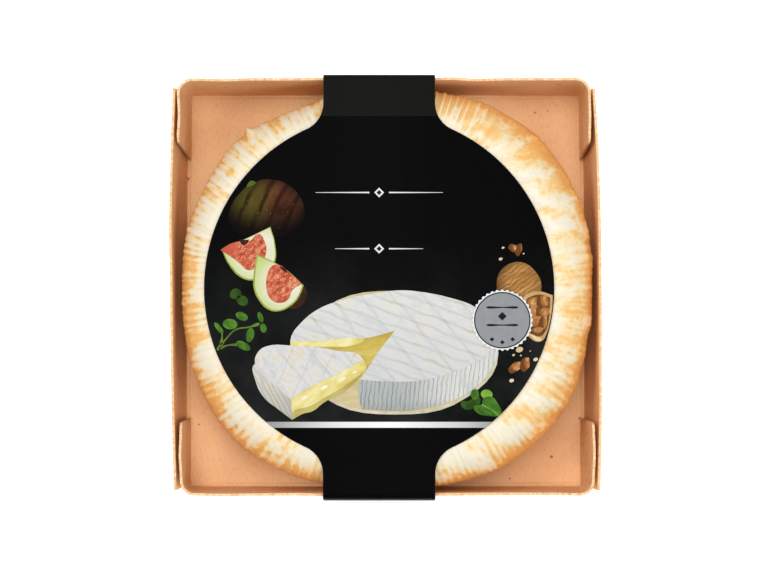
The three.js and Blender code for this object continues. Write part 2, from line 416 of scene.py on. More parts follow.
def section_place(run, reach, low, high):
    """Follows half the wheel's section: run is the way from the top centre, out over the shoulder,
    down the side and in to the bottom centre. Gives radius, height and the outward direction."""
    side = high - low - 2 * SHOULDER
    on_top = np.clip(run / TOP_RUN, 0, 1)
    past_top = run - TOP_RUN
    over = np.clip(past_top / SHOULDER_RUN, 0, 1) * math.pi / 2
    down = np.clip((past_top - SHOULDER_RUN) / side, 0, 1)
    under = np.clip((past_top - SHOULDER_RUN - side) / SHOULDER_RUN, 0, 1) * math.pi / 2
    inward = np.clip((past_top - 2 * SHOULDER_RUN - side) / TOP_RUN, 0, 1)
    radius = on_top * (1 - inward) * (reach - SHOULDER) + SHOULDER * (np.sin(over) - (1 - np.cos(under)))
    height = high - SHOULDER * (1 - np.cos(over)) - side * down - SHOULDER * np.sin(under)
    turn = over + under
    return radius, height, np.sin(turn), np.cos(turn)


def close_up(gap):
    """Merges the doubled vertices of the piece in hand and turns its faces outwards."""
    bpy.ops.object.mode_set(mode="EDIT")
    bpy.ops.mesh.select_all(action="SELECT")
    bpy.ops.mesh.remove_doubles(threshold=gap)
    bpy.ops.mesh.normals_make_consistent(inside=False)
    bpy.ops.object.mode_set(mode="OBJECT")


def wrap_round(piece, angle, run, lift, reach):
    """Closes a flat grid into the wheel: lift is how far each vertex stands off the plain surface."""
    radius, height, out_share, up_share = section_place(run, reach, WHEEL_LOW.z, WHEEL_HIGH.z)
    radius = radius + lift * out_share
    shape(piece, radius * np.cos(angle), radius * np.sin(angle) + TRAY_SHIFT_Y, height + lift * up_share)
    close_up(0.002 * MM)
    bpy.ops.object.shade_smooth()


def run_of(across, rows_on_top, rows_on_shoulder):
    """Spreads the grid's rows along the section, most of them over the shoulder that shows."""
    places = [0, rows_on_top, rows_on_top + rows_on_shoulder, 0.85, 1]
    runs = [0, 33 * MM, 48 * MM, 72 * MM, SECTION_LENGTH]
    return np.interp(across, places, runs)


def round_place(finish, place, across, along):
    """Coordinates that follow the wheel: one step is across round it and along down its shoulder."""
    middle = finish.node("Mapping", Vector=place, Location=(0, -TRAY_SHIFT_Y, 0))
    plan = finish.node("VectorMath", operation="MULTIPLY", Vector=middle)
    plan.node.inputs[1].default_value = (1, 1, 0)
    radius = finish.node("VectorMath", out="Value", operation="LENGTH", Vector=plan)
    around = finish.node("VectorMath", operation="NORMALIZE", Vector=plan)
    steps = finish.node("VectorMath", operation="SCALE", Vector=around, Scale=GIRTH / (2 * math.pi * across))
    height = finish.axis(middle, "Z")
    down = finish.node("CombineXYZ", Z=finish.times(finish.math("SUBTRACT", radius, height), 1 / along))
    both = finish.node("VectorMath", operation="ADD", Vector=steps)
    finish.feed(both.node.inputs[1], down)
    return both


def rind():
    """Bloomy rind seen through clinging film: cream, with golden patches, and a deeper orange down the
    shoulder that is partly its own colour and partly painted shade.
    """
    skin = Finish("cheese_rind")
    place = skin.object_place()
    drop = skin.between(skin.axis(place, "Z"), 28 * MM, 19 * MM)
    cloud = skin.noise(place, 230, 5, Roughness=0.62, Distortion=0.8)
    gold = skin.ramp(cloud, (0.34, (0.66, 0.52, 0.28)), (0.5, (0.67, 0.43, 0.16)), (0.66, (0.66, 0.34, 0.09)))
    fleck = skin.noise(round_place(skin, place, 0.8 * MM, 2.2 * MM), 1, 4)
    tone = skin.mix(skin.ramp(fleck, (0.5, 0), (0.7, 0.75)), gold, (0.65, 0.55, 0.37))
    # Lower down the shoulder the tone deepens to orange: partly the rind's own edge colour, partly painted
    # shade.
    tone = skin.mix(skin.times(drop, 0.75), tone, (0.7, 0.32, 0.09))
    relief = skin.bump(skin.plus(cloud, fleck), 0.3 * MM, 0.6)
    return skin.shade(Base_Color=tone, Roughness=0.45, Specular_IOR_Level=0.3, Normal=relief)


wheel, wheel_along, wheel_across = flat_grid("rind_wheel", 480, 64)
wheel_run = run_of(wheel_across, 0.08, 0.55)
wheel_share = wheel_run / SECTION_LENGTH
wheel_angle = wheel_along * 2 * math.pi
lumps = 0.12 * MM * waves(wheel_along, wheel_share, 60, 30, 71)
lumps = lumps + 0.06 * MM * waves(wheel_along, wheel_share, 160, 70, 72)
lumps = lumps * ease(20 * MM, 36 * MM, wheel_run) * (1 - ease(80 * MM, 100 * MM, wheel_run)) - 0.1 * MM
wheel_reach = reach_at(wheel_angle, WHEEL_HIGH.x, WHEEL_HIGH.x - WHEEL_SHORTER_Y, WHEEL_SQUARENESS)
wrap_round(wheel, wheel_angle, wheel_run, lumps, wheel_reach - pull_in(wheel_angle))
wheel.data.materials.append(rind())
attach(wheel, "root")
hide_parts("cheese_wheel")


# ---- Wrapping film ----
# Clear film drawn tight over the wheel, pleated round its shoulder and closed underneath. It is
# milky where a pleat lifts off and clear where it clings to the rind.

FILM_SQUARENESS = 2.35
FILM_PLAY = 0.2 * MM
EDGE_START_MM = 36
EDGE_RUN_MM = 10.5


def film():
    """Clear waxed film: golden where it clings to the rind and milky wherever it stands off. Down the
    shoulder it is painted a deeper orange, partly the rind's edge colour and partly painted shade.
    """
    skin = Finish("wrapping_film")
    place = skin.object_place()
    lift, pleated, edge_shade = (skin.node("Attribute", out="Fac", attribute_name=name)
                           for name in ("lift", "pleated", "edge_shade"))
    # Painted shade: the tone deepens to orange as the film turns down the shoulder, partly the orange of the
    # rind's edge. A share stored per vertex sets how much at each angle round the wheel.
    drop = skin.times(skin.between(skin.axis(place, "Z"), 27.4 * MM, 24.9 * MM), edge_shade)
    combed = round_place(skin, place, 1.2 * MM, 5.0 * MM)
    streaks = skin.noise(combed, 1, 4, Roughness=0.62, Distortion=0.7)
    stain = skin.noise(place, 190, 4, Roughness=0.6, Distortion=1)
    mottle = skin.mix(pleated, skin.times(stain, 1.7), skin.times(streaks, 1.3))
    centre = skin.math("SUBTRACT", 0.85, skin.times(pleated, 0.2))
    # Thin curly crinkles: they raise the bump, and their crests are painted whiter and more opaque as glints,
    # a painted highlight.
    curl = skin.noise(place, 150, 3, Roughness=0.5, Distortion=1.4)
    off_middle = skin.math("ABSOLUTE", skin.math("SUBTRACT", curl, 0.5))
    crinkle_and_glint = skin.math("SUBTRACT", 1, skin.times(off_middle, 24), clamp=True)
    crinkle_and_glint = skin.times(crinkle_and_glint, skin.math("SUBTRACT", 0.25, skin.times(pleated, 0.2)))
    lifted = skin.plus(skin.plus(lift, crinkle_and_glint), skin.math("SUBTRACT", mottle, centre))
    cover = skin.ramp(lifted, (0.15, 0.55), (0.5, 0.82), (0.8, 0.95))
    tone = skin.ramp(lifted, (0.05, (0.82, 0.43, 0.12)), (0.3, (0.77, 0.51, 0.205)),
                     (0.55, (0.68, 0.56, 0.34)), (0.85, (0.605, 0.555, 0.44)))
    shaded = skin.times(drop, skin.ramp(lifted, (0.15, 1), (0.8, 0.4)))
    tone = skin.mix(shaded, tone, (1, 0.48, 0.12))
    relief = skin.bump(skin.plus(skin.plus(streaks, stain), crinkle_and_glint), 0.28 * MM, 0.6)
    return skin.shade(Base_Color=tone, Alpha=cover, Roughness=0.42, Specular_IOR_Level=0.3,
                      Coat_Weight=0.1, Coat_Roughness=0.12, Normal=relief)


def keep_as_value(piece, name, values):
    """Stores one number per vertex, for the finish to read. It goes in before doubles are merged."""
    attribute = piece.data.attributes.new(name, "FLOAT", "POINT")
    attribute.data.foreach_set("value", values.astype(np.float32))


film_wrap, film_along, film_across = flat_grid("pleated_film", 1380, 70)
film_run = run_of(film_across, 0.06, 0.68)
film_share = film_run / SECTION_LENGTH
film_angle = film_along * 2 * math.pi
run_mm = film_run / MM


def round_film(table):
    """Reads a table of angles at every vertex of the film."""
    return at_degrees(film_along * 360, table)


def over_film(columns, rows, seed, aside=0, down=0):
    """Soft waves over the film, so many round it and so many down it, and pushed a little out of line."""
    return waves(film_along + aside, film_share + down, columns, rows, seed)


# Pleats: how strong they are round the wheel, how many there are, and how each one rises and drops.
strength = round_film({0: 0.45, 20: 0.2, 45: 0.12, 58: 0.2, 66: 0.7, 84: 0.8, 96: 0.9, 130: 1, 165: 0.9,
                       200: 0.75, 235: 0.55, 262: 0.8, 285: 0.9, 320: 0.7, 345: 0.5, 360: 0.45})
phase = round_film({0: 0, 60: 28, 95: 42, 215: 98, 262: 117, 360: 168})
for depth, columns, rows, seed in [(1.3, 13, 1, 63), (0.5, 45, 2, 69), (0.28, 110, 5, 70), (0.8, 16, 9, 61)]:
    phase = phase + depth * over_film(columns, rows, seed)
turn = phase % 1
ridge = ease(0, 0.5, turn) * (1 - ease(0.72, 0.92, turn)) * (0.62 + 0.38 * over_film(130, 3, 64))
looped = round_film({54: 0, 62: 1, 84: 1, 92: 0})
ridge = ridge * (1 - looped) + looped * hump(turn, 0.5, 0.17)
fine = (0.5 + 0.5 * np.cos(4 * math.pi * phase + 2.2 * over_film(60, 20, 65))) ** 2

# Folds: broad slanting bands on the right, tongues that taper outwards, and creases that wander.
outward = (run_mm - EDGE_START_MM) / EDGE_RUN_MM
slant = outward * round_film({0: 0, 15: 0.012, 30: 0.022, 50: 0.022, 70: 0, 270: 0, 290: -0.01, 315: -0.025,
                              340: -0.015, 360: 0})
banded = round_film({0: 1, 58: 1, 70: 0, 285: 0, 298: 1, 360: 1})
band_turn = (film_along + slant) * 34 + 0.45 * over_film(19, 3, 90)
bands = banded * (0.5 + 0.5 * np.cos(2 * math.pi * band_turn)) ** 1.3
tongues = np.zeros_like(film_along)
for depth, columns, rows, seed in [(0.36, 52, 9, 77), (0.38, 118, 12, 78), (0.26, 280, 18, 79)]:
    tongues = tongues + depth * (1 - 1.8 * np.abs(over_film(columns, rows, seed, aside=slant)))
tongues = tongues * (1 - 0.45 * banded)
creases = np.zeros_like(film_along)
for octave, (columns, rows, seed) in enumerate([(90, 22, 66), (150, 60, 67), (300, 110, 68)]):
    aside = 0.004 * over_film(70, 40, seed + 5)
    down = 0.012 * over_film(80, 30, seed + 9)
    thin = 1 - 2.2 * np.abs(over_film(columns, rows, seed, aside, down))
    creases = creases + np.clip(thin, 0, 1) ** 2 / (1 + 0.6 * octave)
outward = np.clip(outward, -0.1, 1.4)
edge_lines = np.clip(1 - 2.3 * np.abs(over_film(290, 14, 91)), 0, 1) ** 2 * ease(0.5, 0.85, outward)

# Patches: loose areas, clouds where the film sweats, a dotted line of contact, and one torn tip.
loose = 0.5 + 0.5 * over_film(34, 16, 81)
patchy = 0.5 + 0.5 * over_film(80, 40, 82)
clouds = 0.5 * over_film(70, 30, 84) + 0.35 * over_film(150, 64, 85) + 0.38 * over_film(340, 150, 86)
dot_run = round_film({0: 40.2, 180: 40.6, 205: 42, 250: 42, 360: 41})
dots = hump(run_mm, dot_run, 0.8) * round_film({90: 0, 108: 1, 245: 1, 262: 0})
tip = hump(film_along * 360, 131, 0.9) * ease(42.5, 46, run_mm) * (1 - ease(46.5, 50, run_mm))

# How far the film stands off the wheel, in mm.
gather = ease(35.5, 41, run_mm)
shown = ease(33.5, 36.5, run_mm) * (1 - 0.5 * ease(44, 48, run_mm))
bulging = ease(39, 45, run_mm) * (1 - ease(60, 75, run_mm))
cling = round_film({0: 0.75, 60: 0.75, 75: 0.6, 100: 0.25, 140: 0.15, 180: 0.3, 250: 0.3, 290: 0.45, 320: 0.6,
                    345: 0.7, 360: 0.75})
standing = 0.36 * strength * ridge * (0.3 + 0.7 * gather) + 0.03 * strength * fine + 0.04 * creases
standing = standing + 0.2 * loose * (1 - 0.6 * strength) + 0.24 * tongues * (1 - 0.6 * strength)
standing = standing + 0.2 * bands + 0.1 * edge_lines + 1.3 * tip
lift_mm = 0.15 + standing * shown + bulging * (0.12 + 0.12 * cling) * over_film(46, 3, 83)
lift_mm = lift_mm * (1 - ease(100 * MM, SECTION_LENGTH, film_run))

# How milky it is, from 0 where it clings to 1. Near the middle the white runs on between the pleats.
white_reach = round_film({0: 0.2, 20: 0.18, 40: 0.12, 60: 0.12, 75: 0.2, 107: 0.45, 130: 0.8, 150: 0.7,
                          180: 0.5, 200: 0.4, 225: 0.5, 253: 0.45, 287: 0.5, 315: 0.35, 340: 0.25, 360: 0.2})
edge_gold = round_film({0: 0.7, 75: 0.6, 107: 0.9, 118: 0.2, 150: 0.1, 175: 0.3, 200: 0.4, 253: 0.5, 287: 0.9,
                        345: 0.9, 360: 0.7})
loop_white = round_film({52: 1, 58: 1.9, 78: 1.9, 84: 1})
milky = 0.5 + 0.8 * (white_reach + 0.95 * (tongues - 0.3) - outward) + 0.42 * clouds
milky = milky + 0.42 * (bands - 0.35 * banded) * (1 - 0.7 * ease(0.55, 0.95, outward))
milky = np.clip(milky, 0.34 - 0.3 * ease(0.3, 0.9, outward), 0.84)
milky = milky + 0.5 * strength * loop_white * (ridge - 0.4) * (0.4 + 0.6 * gather)
milky = milky + 0.12 * creases * (0.4 + 0.6 * patchy) + 0.25 * (loose - 0.5) + 0.4 * tip
milky = milky - 0.5 * dots * ease(0.3, 0.8, patchy) * (1 - 0.8 * ridge)
milky = milky - 0.45 * edge_gold * ease(0.6, 0.95, outward) * (1.2 - 0.6 * tongues) + 0.34 * edge_lines
# How much painted shade deepens the film's edge to orange at each angle round the wheel.
edge_shade = round_film({0: 1, 45: 1, 75: 0.9, 95: 1, 130: 0.3, 175: 0.6, 210: 0.8, 250: 0.9, 280: 1, 360: 1})

film_reach = reach_at(film_angle, WHEEL_HIGH.x + 0.1 * MM, WHEEL_HIGH.x + 0.1 * MM - WHEEL_SHORTER_Y,
                      WHEEL_SQUARENESS)
wide_reach = reach_at(film_angle, FILM_HIGH.x - FILM_PLAY, (FILM_HIGH.y - FILM_LOW.y) / 2 - FILM_PLAY,
                      FILM_SQUARENESS)
flare = ease(40, 50, run_mm)
film_reach = film_reach * (1 - flare) + wide_reach * flare - pull_in(film_angle)
keep_as_value(film_wrap, "pleated", strength)
keep_as_value(film_wrap, "edge_shade", edge_shade)
keep_as_value(film_wrap, "lift", np.clip(milky, 0, 1))
wrap_round(film_wrap, film_angle, film_run, lift_mm * MM, film_reach)
film_wrap.data.materials.append(film())
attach(film_wrap, "root")
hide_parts("wrapping_film")


# ---- Label sleeve ----
# A loop of black printed card, folded round the tray and meeting in a seam underneath, with a round
# medallion die-cut into its top panel. Its cut edges show the grey core of the card.

SLEEVE_LOW, SLEEVE_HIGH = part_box("label_sleeve")
CARD = 0.4 * MM
MEDALLION_X = (SLEEVE_LOW.x + SLEEVE_HIGH.x) / 2
MEDALLION_RADIUS = (SLEEVE_HIGH.x - SLEEVE_LOW.x) / 2
BAND_HALF = 11.45 * MM
FILLET = 5.9 * MM
TOP_FOLD = 1.2 * MM
BOTTOM_FOLD = 0.8 * MM
FRONT_LEAN = 0.9 * MM
BACK_LEAN = 0.2 * MM
SEAM_Y = -12 * MM
SEAM_GAP = 0.15 * MM
CARD_TOP = SLEEVE_HIGH.z
RULE_Y = -27.9 * MM
RULE_HALF = 0.6 * MM
BACK_PANEL_Y = 35.2 * MM


def black_card():
    """Black ink on satin card: dark slate behind the picture, then a silver rule and solid black."""
    card = Finish("black_card")
    place = card.object_place()
    x, y, z = (card.axis(place, name) for name in "XYZ")
    grain = card.noise(place, 1600, 3)
    behind = card.math("GREATER_THAN", y, BACK_PANEL_Y)
    tone = card.mix(behind, (0.0008, 0.0008, 0.0011), (0.0055, 0.0055, 0.0049))
    tone = card.mix(card.ramp(grain, (0.4, 0), (0.8, 0.06)), tone, (0.009, 0.009, 0.009))
    weave = card.stripes(card.turned(place, 28.65), 0.5 * MM, 2, 2)
    cloud = card.plus(card.noise(place, 55, 5, Roughness=0.6), card.times(weave, 0.06))
    slate = card.ramp(cloud, (0.42, (0.0025, 0.0028, 0.003)), (0.72, (0.014, 0.015, 0.014)))
    on_top = card.math("GREATER_THAN", z, CARD_TOP - 0.5 * CARD)
    above_rule = card.math("GREATER_THAN", y, RULE_Y + RULE_HALF)
    fade = card.between(y, 10 * MM, -16 * MM)
    tone = card.mix(card.times(card.times(on_top, above_rule), fade), tone, slate)
    rule = card.math("COMPARE", y, RULE_Y, RULE_HALF)
    along_rule = card.between(x, -24 * MM, 22 * MM)
    silver = card.ramp(along_rule, (0, 0.2), (0.3, 0.5), (0.55, 0.62), (0.85, 0.4), (1, 0.22))
    tone = card.mix(card.times(on_top, rule), tone, silver)
    return card.shade(Base_Color=tone, Roughness=0.55, Specular_IOR_Level=0.02,
                      Normal=card.bump(grain, 0.01 * MM, 0.3))


def card_core():
    """The grey core of the card, darkened by ink at its cut edges."""
    core = Finish("card_core")
    fibre = core.noise(core.object_place(), 2500, 3)
    tone = core.ramp(fibre, (0.35, (0.07, 0.065, 0.06)), (0.65, (0.16, 0.15, 0.14)))
    return core.shade(Base_Color=tone, Roughness=0.85, Normal=core.bump(fibre, 0.03 * MM, 0.5))


def first_point(name, place):
    """Starts an outline: a new piece in edit mode that holds one selected vertex."""
    pick()
    bpy.ops.mesh.primitive_plane_add(size=MM, location=place)
    bpy.ops.object.transform_apply(location=True)
    piece = bpy.context.object
    piece.name = piece.data.name = name
    bpy.ops.object.mode_set(mode="EDIT")
    bpy.ops.mesh.select_all(action="SELECT")
    bpy.ops.mesh.merge(type="CENTER")
    return piece


def arc_on(centre, degrees, steps, axis=(0, 0, 1)):
    """Carries on from the selected end along an arc, counterclockwise where degrees is above 0."""
    bpy.ops.mesh.spin(steps=steps, angle=-math.radians(degrees), center=centre, axis=axis)


def line_on(x=0, y=0, z=0):
    """Carries on from the selected end along a straight line."""
    bpy.ops.mesh.extrude_region_move(TRANSFORM_OT_translate={"value": (x, y, z)})


def select_edge(piece, y):
    """Selects the straight edge that runs across the band at a place along it."""
    bpy.ops.object.mode_set(mode="EDIT")
    bpy.ops.mesh.select_mode(type="VERT")
    bpy.ops.mesh.select_all(action="DESELECT")
    bpy.ops.object.mode_set(mode="OBJECT")
    for vertex in piece.data.vertices:
        vertex.select = abs(vertex.co.y - y) < 0.01 * MM
    bpy.ops.object.mode_set(mode="EDIT")
    bpy.ops.mesh.select_mode(type="EDGE")


def fold_down(piece, end, lean, under):
    """Folds the band over the edge of the tray, down its wall and in under its base."""
    face = SLEEVE_HIGH.y - lean - CARD / 2
    fold_y = end * (face - (TOP_FOLD - CARD / 2))
    top_z = CARD_TOP - TOP_FOLD
    select_edge(piece, end * fillet_y)
    line_on(y=fold_y - end * fillet_y)
    arc_on((0, fold_y, top_z), -90 * end, 6, axis=(1, 0, 0))
    steps = 12
    last_y, last_z = 0, top_z
    for step in range(1, steps + 1):
        share = step / steps
        z = top_z + (BOTTOM_FOLD - top_z) * share
        bow = 4 * lean * share * (1 - share)
        line_on(y=end * (bow - last_y), z=z - last_z)
        last_y, last_z = bow, z
    arc_on((0, end * (face - (BOTTOM_FOLD - CARD / 2)), BOTTOM_FOLD), -90 * end, 5, axis=(1, 0, 0))
    line_on(y=-end * under)
    bpy.ops.object.mode_set(mode="OBJECT")


fillet_x = BAND_HALF + FILLET
fillet_y = math.sqrt((MEDALLION_RADIUS + FILLET) ** 2 - fillet_x ** 2)
fillet_turn = math.degrees(math.atan2(fillet_y, fillet_x))
sheet_z = CARD_TOP - CARD / 2
sleeve = first_point("card_sleeve", (MEDALLION_X + BAND_HALF, -fillet_y, sheet_z))
for side in (1, -1):
    arc_on((MEDALLION_X + side * fillet_x, -side * fillet_y, sheet_z), -fillet_turn, 24)
    arc_on((MEDALLION_X, 0, sheet_z), 2 * fillet_turn, 120)
    arc_on((MEDALLION_X + side * fillet_x, side * fillet_y, sheet_z), -fillet_turn, 24)
    if side == 1:
        line_on(x=-2 * BAND_HALF)
bpy.ops.mesh.select_all(action="SELECT")
bpy.ops.mesh.remove_doubles(threshold=0.01 * MM)
bpy.ops.mesh.edge_face_add()
bpy.ops.object.mode_set(mode="OBJECT")
fold_down(sleeve, 1, BACK_LEAN, SLEEVE_HIGH.y - BACK_LEAN - BOTTOM_FOLD - SEAM_Y - SEAM_GAP)
fold_down(sleeve, -1, FRONT_LEAN, SLEEVE_HIGH.y - FRONT_LEAN - BOTTOM_FOLD + SEAM_Y)
close_up(0.0005 * MM)
sleeve.data.materials.append(black_card())
sleeve.data.materials.append(card_core())
finish_with(sleeve, "SOLIDIFY", thickness=CARD, offset=0, use_even_offset=True, material_offset_rim=1)
round_edges(sleeve, 0.07 * MM)
bpy.ops.object.shade_smooth_by_angle(angle=math.radians(35))
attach(sleeve, "root")
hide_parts("label_sleeve")


# ---- Printed picture ----
# A plain serving picture printed on the medallion: a cut wheel of white cheese on its liner, figs,
# walnuts, herbs, and a blank round seal. Each ink shape is a very thin plate on the card.

INK = 0.012 * MM
LAYER = 0.02 * MM
printed_shapes = []


def printed(layer, finish, outline, sharp=()):
    """Lays one closed ink shape on the card, its outline in mm from the middle of the medallion."""
    pick()
    bpy.ops.curve.primitive_bezier_circle_add(radius=1, location=(0, 0, CARD_TOP + layer * LAYER))
    line = bpy.context.object
    line.data.dimensions = "2D"
    line.data.fill_mode = "BOTH"
    line.data.extrude = INK / 2
    line.data.resolution_u = line.data.render_resolution_u = 5
    points = line.data.splines[0].bezier_points
    points.add(len(outline) - len(points))
    for index, (point, (x, y)) in enumerate(zip(points, outline)):
        point.co = (MEDALLION_X + x * MM, y * MM, 0)
        point.handle_left_type = point.handle_right_type = "VECTOR" if index in sharp else "AUTO"
    bpy.ops.object.convert(target="MESH")
    bpy.ops.object.transform_apply(location=True)
    close_up(0.0005 * MM)
    bpy.context.object.data.materials.append(finish)
    printed_shapes.append(bpy.context.object)


def oval(x, y, wide, high, lean=0, points=8, ripple=0):
    """Points round an ellipse with a lean in degrees; a ripple pulls every second point inwards."""
    turn = math.radians(lean)
    places = []
    for step in range(points):
        angle = step / points * 2 * math.pi
        reach = 1 - ripple * (step % 2)
        u, v = wide * reach * math.cos(angle), high * reach * math.sin(angle)
        run, rise = u * math.cos(turn) - v * math.sin(turn), u * math.sin(turn) + v * math.cos(turn)
        places.append((x + run, y + rise))
    return places


def stalk(width, *places):
    """The outline of a thin line through some places."""
    sides = [], []
    for index, (x, y) in enumerate(places):
        before, after = places[max(index - 1, 0)], places[min(index + 1, len(places) - 1)]
        run, rise = after[0] - before[0], after[1] - before[1]
        length = math.hypot(run, rise)
        sides[0].append((x - rise / length * width / 2, y + run / length * width / 2))
        sides[1].append((x + rise / length * width / 2, y - run / length * width / 2))
    return sides[0] + sides[1][::-1]


def diamond(layer, finish, x, y, wide, high):
    printed(layer, finish, oval(x, y, wide, high, points=4), sharp=range(4))


def ink(name, scale, tones, places=None, stretch=(1, 1, 1), turn=0, lines=(), fades=(), round_off=None,
        spots=None):
    """Printed ink in the tones of a noise. Lines give their pitch, turn, depth, waviness and share of
    the pitch. A fade goes to a tone between two places along an axis. round_off darkens an oval's rim."""
    places = places or [0.3 + 0.4 * step / (len(tones) - 1) for step in range(len(tones))]
    finish = Finish("ink_" + name)
    place = finish.object_place()
    grain = finish.node("Mapping", Vector=finish.turned(place, turn), Scale=stretch)
    noise = finish.noise(grain, scale, 5, Roughness=0.6, Distortion=0.4)
    tone = finish.ramp(noise, *zip(places, tones))
    for axis, start, end, towards in fades:
        amount = finish.between(finish.axis(place, axis), start * MM, end * MM)
        tone = finish.mix(amount, tone, towards)
    for pitch, line_turn, depth, waviness, share in lines:
        stripes = finish.stripes(finish.turned(place, line_turn), pitch * MM, waviness, 3, Detail_Scale=1.5)
        patch = finish.ramp(noise, (0.35, 0.3), (0.6, 1))
        dark = finish.times(finish.ramp(stripes, (0, depth), (share, 0)), patch)
        tone = finish.mix(dark, tone, (0.1, 0.1, 0.09), "MULTIPLY")
    if spots:
        pitch, reach, towards = spots
        near = finish.node("TexVoronoi", Vector=place, Scale=1 / (pitch * MM))
        tone = finish.mix(finish.math("LESS_THAN", near, reach), tone, towards)
    if round_off:
        x, y, wide, high, towards = round_off
        centred = finish.node("Mapping", Vector=place, vector_type="TEXTURE", Location=(x * MM, y * MM, 0),
                              Scale=(wide * MM, high * MM, 1e6))
        reach = finish.node("VectorMath", out="Value", operation="LENGTH", Vector=centred)
        rim = finish.between(reach, 0.35, 1, interpolation_type="SMOOTHSTEP")
        tone = finish.mix(rim, tone, towards)
    return finish.shade(Base_Color=tone, Roughness=0.6, Specular_IOR_Level=0.02)


# The cut wheel and its wedge, on a straw-coloured liner.
bloom = ink("bloom", 260, [0.4, (0.48, 0.48, 0.465), (0.5, 0.48, 0.43), (0.48, 0.41, 0.27)],
    places=(0.3, 0.5, 0.62, 0.72), stretch=(1, 2.2, 1), turn=20, lines=[(2.2, -70, 0.2, 2.5, 0.25),
    (0.45, -70, 0.12, 2, 0.5), (5.2, -38, 0.16, 2, 0.06)], fades=[("Y", -1, -30, (0.4, 0.41, 0.41))])
slice_bloom = ink("slice_bloom", 300, [0.37, (0.47, 0.47, 0.465), (0.48, 0.41, 0.26)],
    places=(0.3, 0.52, 0.72), stretch=(1, 2, 1), turn=40, lines=[(5, -42, 0.15, 1.2, 0.06),
    (3.9, 25, 0.13, 1.4, 0.05), (0.45, -42, 0.12, 2, 0.5)])
ribs = ink("ribs", 240, [(0.33, 0.34, 0.33), (0.46, 0.46, 0.44), (0.52, 0.52, 0.49)],
    places=(0.25, 0.5, 0.7), stretch=(2, 0.7, 1), lines=[(0.9, 6, 0.45, 3, 0.35),
    (0.36, 4, 0.25, 2.5, 0.5)], fades=[("X", 13, 4, (0.3, 0.32, 0.315)), ("Y", -22.5, -26,
    (0.24, 0.24, 0.22))])
slice_ribs = ink("slice_ribs", 240, [(0.33, 0.31, 0.25), (0.42, 0.41, 0.37), (0.47, 0.43, 0.33)],
    stretch=(2, 0.8, 1), turn=-25, lines=[(0.8, -28, 0.35, 3, 0.4)], fades=[("Y", -18, -30,
    (0.24, 0.24, 0.22))])
paste = ink("paste", 200, [(0.42, 0.32, 0.07), (0.5, 0.43, 0.15), (0.55, 0.5, 0.25),
    (0.6, 0.58, 0.42)], places=(0.3, 0.46, 0.58, 0.72), stretch=(0.7, 1.8, 1), turn=-32)
deep_paste = ink("deep_paste", 170, [(0.26, 0.18, 0.02), (0.4, 0.31, 0.07), (0.47, 0.4, 0.14)],
    places=(0.3, 0.55, 0.75), stretch=(0.8, 1.6, 1), turn=-10)
paste_shade = ink("paste_shade", 200, [(0.27, 0.22, 0.05), (0.4, 0.35, 0.13)], stretch=(0.7, 1.8, 1),
    turn=-32)
gleam = ink("gleam", 300, [(0.54, 0.52, 0.36), (0.6, 0.59, 0.5)])
straw = ink("straw", 300, [(0.36, 0.29, 0.14), (0.44, 0.38, 0.22)], stretch=(0.6, 3, 1))
pale_edge = ink("pale_edge", 500, [(0.33, 0.3, 0.2), (0.48, 0.45, 0.36)])
printed(1, pale_edge, oval(3.3, -13.35, 21, 12.45))
printed(2, straw, oval(3.2, -12.9, 20.6, 12.3))
printed(3, deep_paste, [(-18.1, -10.6), (-10, -10), (3.6, -8.4), (0.4, -13), (-3.2, -17.8), (-6.5, -16),
    (-10, -13.6), (-18, -12.2)], sharp=(0, 2, 7))
printed(4, paste, [(-18.1, -10.6), (-8, -10), (-3, -10.1), (-5, -11.6), (-10, -12), (-18.1, -11.9)],
    sharp=(0, 5))
printed(4, ribs, [(-3.9, -18.6), (4, -18.4), (14, -16.6), (21, -13), (24.1, -10), (24.3, -12.6),
    (22.8, -16.6), (19, -20.7), (14, -23.3), (8, -24.8), (3, -25.1), (-3.6, -24.7), (-4.2, -22)],
    sharp=(0, 4, 11))
printed(6, bloom, [(3.2, -8.7), (-0.4, -13.4), (-2.6, -16.8), (-3.9, -18.7), (2, -19.1), (8.3, -18.9),
    (13.5, -17.7), (18.5, -15.8), (22, -13.4), (24.1, -10.4), (23.3, -7), (19.6, -3.9), (14, -1.9),
    (9, -0.9), (4.5, -0.5), (-1, -1.1), (-8, -2.6), (-12.7, -4.5), (-16, -7.2), (-17.8, -9.6),
    (-18.1, -10.9), (-12, -10.8), (-7, -10.2), (-3, -10.3), (0.2, -9.6)], sharp=(0, 3, 20))
printed(7, paste, [(-17.9, -22.6), (-14, -20.1), (-8, -17.2), (-3.2, -14.5), (-2.6, -16.4), (-4.3, -18.7),
    (-7, -21), (-11.3, -23.4), (-13.5, -25.1), (-15.6, -25.7), (-17.7, -26.9)], sharp=(0, 3, 10))
printed(8, paste_shade, [(-17.7, -26.9), (-17.6, -25.3), (-14.6, -24.3), (-11, -22.3), (-6.5, -19.6),
    (-2.8, -16.8), (-4.3, -18.7), (-7, -21), (-11.3, -23.4), (-13.5, -25.1), (-15.6, -25.7)], sharp=(0, 5))
for x, y, wide, high in [(-7.6, -18.6, 0.9, 0.35), (-11.2, -20.3, 0.8, 0.3), (-5, -17.2, 0.5, 0.22),
                         (-15.2, -22.4, 0.6, 0.3)]:
    printed(9, gleam, oval(x, y, wide, high, 28))
printed(8, slice_ribs, [(-25.2, -15.4), (-25.1, -19.2), (-23.4, -22.4), (-20.6, -24.7), (-17.7, -26.9),
    (-17.9, -22.4), (-21, -18.5)], sharp=(4, 5))
printed(9, slice_bloom, [(-22.9, -11.9), (-24.6, -13), (-25.3, -15.4), (-23.8, -17.6), (-21, -20.2),
    (-18, -22.7), (-14, -20.2), (-8, -17.3), (-3.2, -14.6), (-4.4, -13.4), (-8, -12.9), (-12, -12.2),
    (-17.5, -11.8)], sharp=(5, 8))

